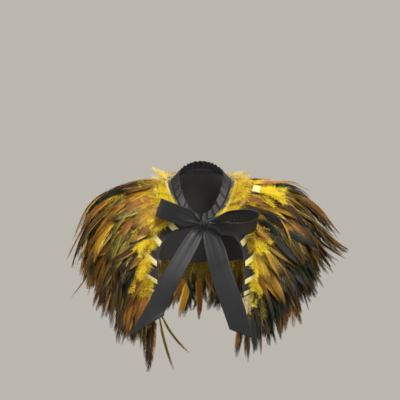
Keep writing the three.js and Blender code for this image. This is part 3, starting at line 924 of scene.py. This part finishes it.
def feather_look():
    """Colour and roughness come from the points; fine barb lines come from the feather's own sizes."""
    material, shader = new_material("feather", 0.5, Specular_IOR_Level=0.2)
    tint = node(material, "Attribute", attribute_name="tint")
    rough = node(material, "Attribute", attribute_name="rough")
    place = node(material, "UVMap", uv_map="barbs").outputs["UV"]
    line_values = {"Vector": place, "Scale": 330, "Distortion": 1.2, "Detail": 2}
    lines = node(material, "TexWave", line_values, bands_direction="DIAGONAL")
    patches = node(material, "TexNoise", {"Vector": place, "Scale": 160, "Detail": 3})
    both = {0: lines.outputs["Fac"], 1: patches.outputs["Fac"]}
    fine = node(material, "Math", both, operation="MULTIPLY")
    amount = node(material, "MapRange", {"Value": fine.outputs["Value"], "To Min": 0.82, "To Max": 1.5})
    shade = node(material, "VectorMath", {0: tint.outputs["Color"]}, operation="SCALE")
    link(material, amount.outputs["Result"], shade.inputs["Scale"])
    bump = node(material, "Bump", {"Height": fine.outputs["Value"], "Strength": 0.25, "Distance": 0.0003})
    link(material, shade.outputs["Vector"], shader.inputs["Base Color"])
    link(material, rough.outputs["Fac"], shader.inputs["Roughness"])
    link(material, bump.outputs["Normal"], shader.inputs["Normal"])
    return material


FEATHER_LOOK = feather_look()


# %% [markdown]
# ## Plant the rows
# Four or five wide feathers hang for each lock of the frame's row, in three layers along the tape,
# and short plumes of down fill the roots. A lock stands for about eight real feathers, and these are
# fewer and wider, to keep the mesh light. The longest strays sit where the frame has its own. Each
# feather gets a little of its own tilt, lean, roll and cupping, because sewn feathers never lie
# all alike. The texture atlas gives every feather a cell of its own for baking.

# %% Plant the rows
FEATHERS_PER_LOCK = 4.4
LAYERS = 3
RIGHT_REACH = 0.07
LONGEST = 1.36  # no feather is longer than this share of its row's length
PLUMES_PER_LOCK = 2
TUFT_PLUMES = (0, 6, 6, 6, 5, 2)  # at each end of a row's tape
STRAY_EVERY = 9
ATLAS_MARGIN = 0.06
ROW_SHADES = (1, 0.8, 0.78, 0.78, 0.95, 1)  # the upper rows are a little darker


def plan_feathers(row, row_number, count, rng):
    """One row's long feathers: where each is sewn and how it lies."""
    first = row["start_inset"] + row["tape_end"]
    slot = (np.arange(count) + rng.uniform(0.1, 0.9, count)) / count
    distance = first + (row["total"] - 2 * first) * slot
    column = row["column_at"](distance)
    sideways = np.sin(turn_of(np.full(count, float(row["down"])), column))
    flare = np.maximum(0, sideways) ** 3 * row["flare"]
    on_right = np.maximum(0, -sideways) ** 3
    at_place = 1 + (row["at_sides"] - 1) * np.abs(sideways) ** 3 + RIGHT_REACH * on_right
    length = row["length"] * (1 + FLARE_REACH * flare) * at_place * rng.uniform(0.9, 1.13, count)
    lock = np.arange(count) / FEATHERS_PER_LOCK
    stray = np.abs(lock % STRAY_EVERY - STRAY_EVERY / 2) < 0.25
    length = np.where(stray, length * 1.15, length)
    at_edge = np.minimum(lock, row["locks"] - lock) < 0.5
    length = np.where(at_edge & (rng.random(count) < 0.7), length * row["front_stray"], length)
    length = np.minimum(length, row["length"] * LONGEST)
    near_front = np.minimum(column, LAST_COLUMN - column)
    outward = np.sign(LAST_COLUMN / 2 - column)
    steady = np.where(near_front < 4, 0.5, 1)
    hidden = (near_front > 7) & (row_number == len(ROWS) - 1)
    lean = row["lean"] * np.maximum(0, 1 - near_front / FRONT_COLUMNS) ** 2 * outward
    layer = (np.arange(count) + rng.integers(0, 2, count)) % LAYERS
    raised = 4 * (row_number in (2, 3)) * on_right - 3.5 * (row_number < 2) * np.abs(sideways)
    wide = rng.uniform(15, 24, count) * (1 + 0.2 * flare)
    feathers = {
        "column": column,
        "down": row["down"] + rng.uniform(-1, 5, count),
        "height": TAPE_TOP + 1.5 * layer + rng.uniform(-0.4, 0.6, count),
        "length": length,
        "width": np.where(rng.random(count) < 0.18 + 0.12 * layer, rng.uniform(6, 11, count), wide),
        "tilt": np.radians(rng.normal(0, 1.4, count) + 1.1 * (layer - 1) + raised),
        "lean": np.radians(lean + rng.normal(0, 8, count) * steady),
        "bend": np.radians(rng.normal(0, 14, count) * steady),
        "roll": np.radians(rng.normal(0, 11, count)),
        "cup": rng.uniform(-0.35, 0.0, count),
        "template": rng.integers(0, len(FULL), count),
        "kind": choose_kinds(row_number, column, rng),
        "shade": rng.uniform(0.5, 1.3, count) * ROW_SHADES[row_number],
        "dyed": rng.uniform(0.36, 0.56, count) - 0.05 * max(0, row_number - 1),
    }
    # Away from the front edges the hem row's feathers are darker: their down is dark brown, and their
    # natural colour starts nearer the root.
    feathers["dyed"] *= np.where(hidden, 0.3, 1)
    return with_strays(feathers, row, row_number)


# A tape ends on the wearer's left shoulder, and a bright tuft of down comes from under its end.
SHOULDER_TUFT = {"column": 8.4, "lower": 18, "above": 11, "plumes": 12}

# Single long feathers that stand apart. Angles are in degrees, and a lean above 0 is towards
# higher columns.
STRAY_COLUMNS = ("row", "column", "length", "width", "tilt", "lean", "bend", "kind")
STRAYS = (
    (5, 49.7, 150, 8, 0, 8, 16, OLIVE),
    (5, 49.3, 134, 7, 0, 22, 30, OLIVE),
    (5, 48.6, 140, 8, 0, -2, 10, BLACK),
    (5, 47.5, 140, 8, 0, -4, -8, BROWN),
    (5, 0.3, 126, 14, 0, -10, -4, BLACK),
    (5, 0.7, 130, 16, 0, -7, 0, BROWN),
    (5, 0.3, 116, 12, 0, -15, 2, RUST),
    (5, 0.5, 140, 8, 0, 2, -10, BLACK),
    (5, 1.3, 137, 8, 0, 8, -14, BROWN),
    (5, 2.2, 134, 9, 0, 4, 6, BLACK),
    (5, 42, 146, 8, 7, -8, -18, OLIVE),
    (1, 10.5, 118, 5, 9, 3, -6, GOLD),
    (2, 11.2, 140, 12, 2, 4, 8, OLIVE),
    (3, 11.4, 150, 15, -1, -3, 6, OLIVE),
    (3, 12.6, 146, 14, 0, 2, -8, OLIVE),
    (3, 10.4, 150, 14, -2, -4, 10, GOLD),
    (3, 13.4, 148, 12, 2, 3, 6, BLACK),
)


def with_strays(feathers, row, row_number):
    for stray in (dict(zip(STRAY_COLUMNS, values)) for values in STRAYS):
        if stray["row"] != row_number:
            continue
        angles = {key: math.radians(stray[key]) for key in ("tilt", "lean", "bend")}
        sewn = {"down": row["down"] + 4, "height": TAPE_TOP + 3, "roll": 0.1, "cup": -0.1}
        sewn.update(template=3, shade=1, dyed=0.3)
        for key in feathers:
            feathers[key] = np.append(feathers[key], {**stray, **angles, **sewn}[key])
    return feathers


def plan_plumes(row, row_number, count, rng):
    """Short plumes of down: some along the whole tape, and a tuft at each of its ends."""
    tuft = TUFT_PLUMES[row_number]
    first = row["start_inset"] + row["tape_end"]
    slot = (np.arange(count) + rng.uniform(0.1, 0.9, count)) / count
    distance = first + (row["total"] - 2 * first) * slot
    bunch = first + 6 + 22 * rng.random(2 * tuft)
    distance = np.concatenate([distance, bunch[:tuft], row["total"] - bunch[tuft:]])
    column = row["column_at"](distance)
    if row_number == 1:
        spread = rng.uniform(-0.4, 0.4, SHOULDER_TUFT["plumes"])
        column = np.append(column, SHOULDER_TUFT["column"] + spread)
    total = len(column)
    in_tuft = np.arange(total) >= count
    on_shoulder = np.arange(total) >= len(distance)
    near_front = np.minimum(column, LAST_COLUMN - column)
    outward = np.sign(LAST_COLUMN / 2 - column)
    lean = 0.35 * row["lean"] * np.maximum(0, 1 - near_front / FRONT_COLUMNS) ** 2 * outward
    sideways = np.sin(turn_of(np.full(total, float(row["down"])), column))
    above = -6 if row_number == 0 else 0
    raised = 9.5 * (row_number == 0) * np.abs(sideways)
    # In the hem row most plumes are black and only about a third gold: painted shade at the bottom of the
    # cape.
    dull = RUST if row_number < 5 else BLACK
    bright_share = 0.7 if row_number < 5 else 0.3
    raised_by = 1.5 * in_tuft + SHOULDER_TUFT["above"] * on_shoulder
    return {
        "column": column,
        "down": row["down"] + rng.uniform(-1, 5, total) + above + SHOULDER_TUFT["lower"] * on_shoulder,
        "height": TAPE_TOP + rng.uniform(-0.4, 3.2, total) + raised_by,
        "length": np.where(in_tuft, rng.uniform(45, 85, total), rng.uniform(28, 48, total) + raised),
        "width": np.where(in_tuft, rng.uniform(12, 20, total), rng.uniform(18, 28, total)),
        "tilt": np.radians(rng.normal(7, 4, total) + 2 * raised),
        "lean": np.radians(lean + rng.normal(0, 9, total)),
        "bend": np.radians(rng.normal(0, 14, total)),
        "roll": np.radians(rng.normal(0, 18, total)),
        "cup": rng.uniform(-0.3, 0.1, total),
        "template": rng.integers(0, len(PLUMES), total),
        "kind": np.where((rng.random(total) < bright_share) | on_shoulder, GOLD, dull),
        "shade": np.where(on_shoulder, 1.05, rng.uniform(0.5, 1.2, total)),
        "dyed": np.ones(total),
    }


def atlas_places(owners, flats, count):
    """A cell for each feather: its length runs along v and its width along u."""
    across = math.ceil(math.sqrt(count * 4))
    up = math.ceil(count / across)
    cell = np.stack([owners % across, owners // across], -1)
    inside = np.stack([(flats[:, 1] + 1.3) / 2.6, flats[:, 0] / 1.1], -1)
    inside = ATLAS_MARGIN + (1 - 2 * ATLAS_MARGIN) * np.clip(inside, 0, 1)
    return (cell + inside) / (across, up)


def colour_attribute(piece, name, values):
    rgba = np.ones((len(values), 4), np.float32)
    rgba[:, :3] = values
    layer = piece.data.color_attributes.new(name, "FLOAT_COLOR", "POINT")
    layer.data.foreach_set("color", rgba.ravel())


def float_attribute(piece, name, values):
    layer = piece.data.attributes.new(name, "FLOAT", "POINT")
    layer.data.foreach_set("value", np.asarray(values, np.float32))


def plant_row(row_number, row):
    rng = np.random.default_rng(100 + row_number)
    parts = []
    owner_start = 0
    plans = ((plan_feathers, FULL, FEATHERS_PER_LOCK), (plan_plumes, PLUMES, PLUMES_PER_LOCK))
    for plan, templates, per_lock in plans:
        feathers = plan(row, row_number, int(row["locks"] * per_lock), rng)
        count = len(feathers["column"])
        points, faces, looks, flats, owners = hang(feathers, templates, row)
        colour, rough = colour_points(feathers, looks, flats, owners)
        size = flats[:, :2] * np.stack([feathers["length"], feathers["width"] / 2], -1)[owners]
        parts.append((points, faces, colour, rough, np.abs(size) * MM, flats, owners + owner_start))
        owner_start += count
    shift = len(parts[0][0])
    faces = np.concatenate([parts[0][1], parts[1][1] + shift])
    points, colour, rough, size, flats, owners = (
        np.concatenate([part[k] for part in parts]) for k in (0, 2, 3, 4, 5, 6)
    )
    piece = mesh_piece(row["name"] + "_feathers", points, faces, 3, FEATHER_LOOK, smooth=False)
    colour_attribute(piece, "tint", colour)
    float_attribute(piece, "rough", rough)
    add_uv(piece, "barbs", size)
    add_uv(piece, "OFBake", atlas_places(owners, flats, owner_start))
    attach(piece, "root")
    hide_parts(row["name"])
    print(piece.name, owner_start, "feathers and plumes,", len(faces), "faces")


for row_number, row in enumerate(ROWS):
    plant_row(row_number, row)

# %% [markdown]
# ## Woven tapes
# The ends of the tapes show at the front edges: pale yellow, about 13 mm wide, with lines of
# stitching that pucker them into small squares. A tape is a strip on the ring form, lifted by the
# same amount as in the frame, with a low grid of puckers in its points.

# %% Woven tapes
TAPE_LIFT = 1.0


def tape_look():
    material, shader = new_material("trim_tape", 0.6, Sheen_Weight=0.3, Specular_IOR_Level=0.3)
    place = cut_coordinates(material)
    seam_values = {"Vector": place, "Scale": 105, "Distortion": 0.5}
    weave_values = {"Vector": place, "Scale": 260, "Distortion": 0.8}
    seams = node(material, "TexWave", seam_values, bands_direction="X")
    weave = node(material, "TexWave", weave_values, bands_direction="Y")
    stain = node(material, "TexNoise", {"Vector": place, "Scale": 120, "Detail": 3})
    shade = node(material, "ValToRGB", {"Fac": seams.outputs["Fac"]})
    shade.color_ramp.elements[0].color = (0.72, 0.62, 0.20, 1)
    shade.color_ramp.elements[1].color = (0.92, 0.88, 0.52, 1)
    stained = {"Factor": stain.outputs["Fac"]}
    dirty = node(material, "Mix", stained, data_type="RGBA", blend_type="MULTIPLY")
    link(material, shade.outputs["Color"], dirty.inputs["A"])
    dirty.inputs["B"].default_value = (0.9, 0.85, 0.6, 1)
    both = node(material, "Math", {0: seams.outputs["Fac"], 1: weave.outputs["Fac"]}, operation="ADD")
    bump = node(material, "Bump", {"Height": both.outputs["Value"], "Strength": 0.5, "Distance": 0.0004})
    link(material, dirty.outputs["Result"], shader.inputs["Base Color"])
    link(material, bump.outputs["Normal"], shader.inputs["Normal"])
    return material


TAPE_LOOK = tape_look()


def tape_strip(row):
    length = row["total"] - 2 * row["start_inset"]
    steps = int(length / 3)
    distance = np.linspace(row["start_inset"] - 2, row["total"] - row["start_inset"] + 2, steps)
    upper = -TAPE_WIDTH / 2 if row["tape_end"] > 5 else 0
    downs = row["down"] + np.linspace(upper, TAPE_WIDTH / 2, 7)
    across = np.cos(np.linspace(-math.pi, math.pi, 7))[:, None]
    pucker = 0.35 * np.sin(distance * 2 * math.pi / 6)[None, :] * across
    grid, _ = on_cape(downs[:, None], row["column_at"](distance)[None, :], TAPE_LIFT + 1.2 + pucker)
    piece = cloth_piece(row["name"] + "_tape", grid, 1.1, TAPE_LOOK)
    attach(piece, "root")
    return piece


def shoulder_tape_end(wide=15, long=17):
    """The short end of tape that lies bare among the feathers on the wearer's left shoulder."""
    downs = ROWS[1]["down"] + SHOULDER_TUFT["lower"] + np.linspace(-long / 2, long / 2, 9)
    step = ROWS[1]["total"] / LAST_COLUMN
    columns = SHOULDER_TUFT["column"] + np.linspace(-wide / 2, wide / 2, 9) / step
    pucker = 0.4 * np.sin(np.linspace(0, 4 * math.pi, 9))[:, None]
    height = TAPE_TOP + SHOULDER_TUFT["above"] + 6 + 0.2 * (downs - downs[0])[:, None] + pucker
    grid, _ = on_cape(downs[:, None], columns[None, :], height + 0 * columns[None, :])
    piece = cloth_piece("shoulder_tape_end", grid, 1.0, TAPE_LOOK)
    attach(piece, "root")
    return piece


tapes = [tape_strip(row) for row in ROWS] + [shoulder_tape_end()]
print("tapes:", len(tapes))

# %% [markdown]
# ## Gathered neck ribbon
# A wide satin ribbon is drawn up on a thread, so that it stands in small uneven pleats round the
# neck. The pleats are deep at the free edge and shallow at the seam, where the ribbon is tucked
# inside the cloth. A plain sine looks like a machine part. Real gathers lean over, differ in width
# and now and then join, so the wave is bent, and its phase wanders along the neck.

# %% Gathered neck ribbon
GATHERS = 30
COLLAR_TOP = -22
COLLAR_SEAM = -0.7


def neck_ribbon():
    stations = GATHERS * 14
    place = np.linspace(0, 1, stations + 1)
    downs = np.append(np.linspace(COLLAR_TOP, COLLAR_SEAM, 13), [1.0, 3.0])
    share = np.clip((downs - COLLAR_TOP) / (COLLAR_SEAM - COLLAR_TOP), 0, 1)
    tucked = -2.6 * smoothstep(downs, -3, 0)
    wander = 0.9 * np.sin(place * 31) + 0.6 * np.sin(place * 73 + 1)
    drift = 0.5 * share[:, None] * np.sin(place * 47)[None, :]
    phase = 2 * math.pi * GATHERS * place[None, :] + wander[None, :] + drift
    wave = np.sin(phase + 0.55 * np.sin(phase))
    size = 1.5 * (1 + 0.25 * np.sin(place * 59 + 2))[None, :] * (1 - 0.5 * share)[:, None]
    small = 0.25 * np.sin(2.7 * phase) * (share * (1 - share) * 4)[:, None]
    height = wave * size + small + tucked[:, None]
    grid, _ = on_cape(downs[:, None], (LAST_COLUMN * place)[None, :], height)
    return cloth_piece("neck_ribbon_satin", grid, RIBBON_THICKNESS, SATIN_LOOK)


collar = neck_ribbon()
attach(collar, "root")
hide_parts("neck_ribbon")
print("neck ribbon with", GATHERS, "gathers")
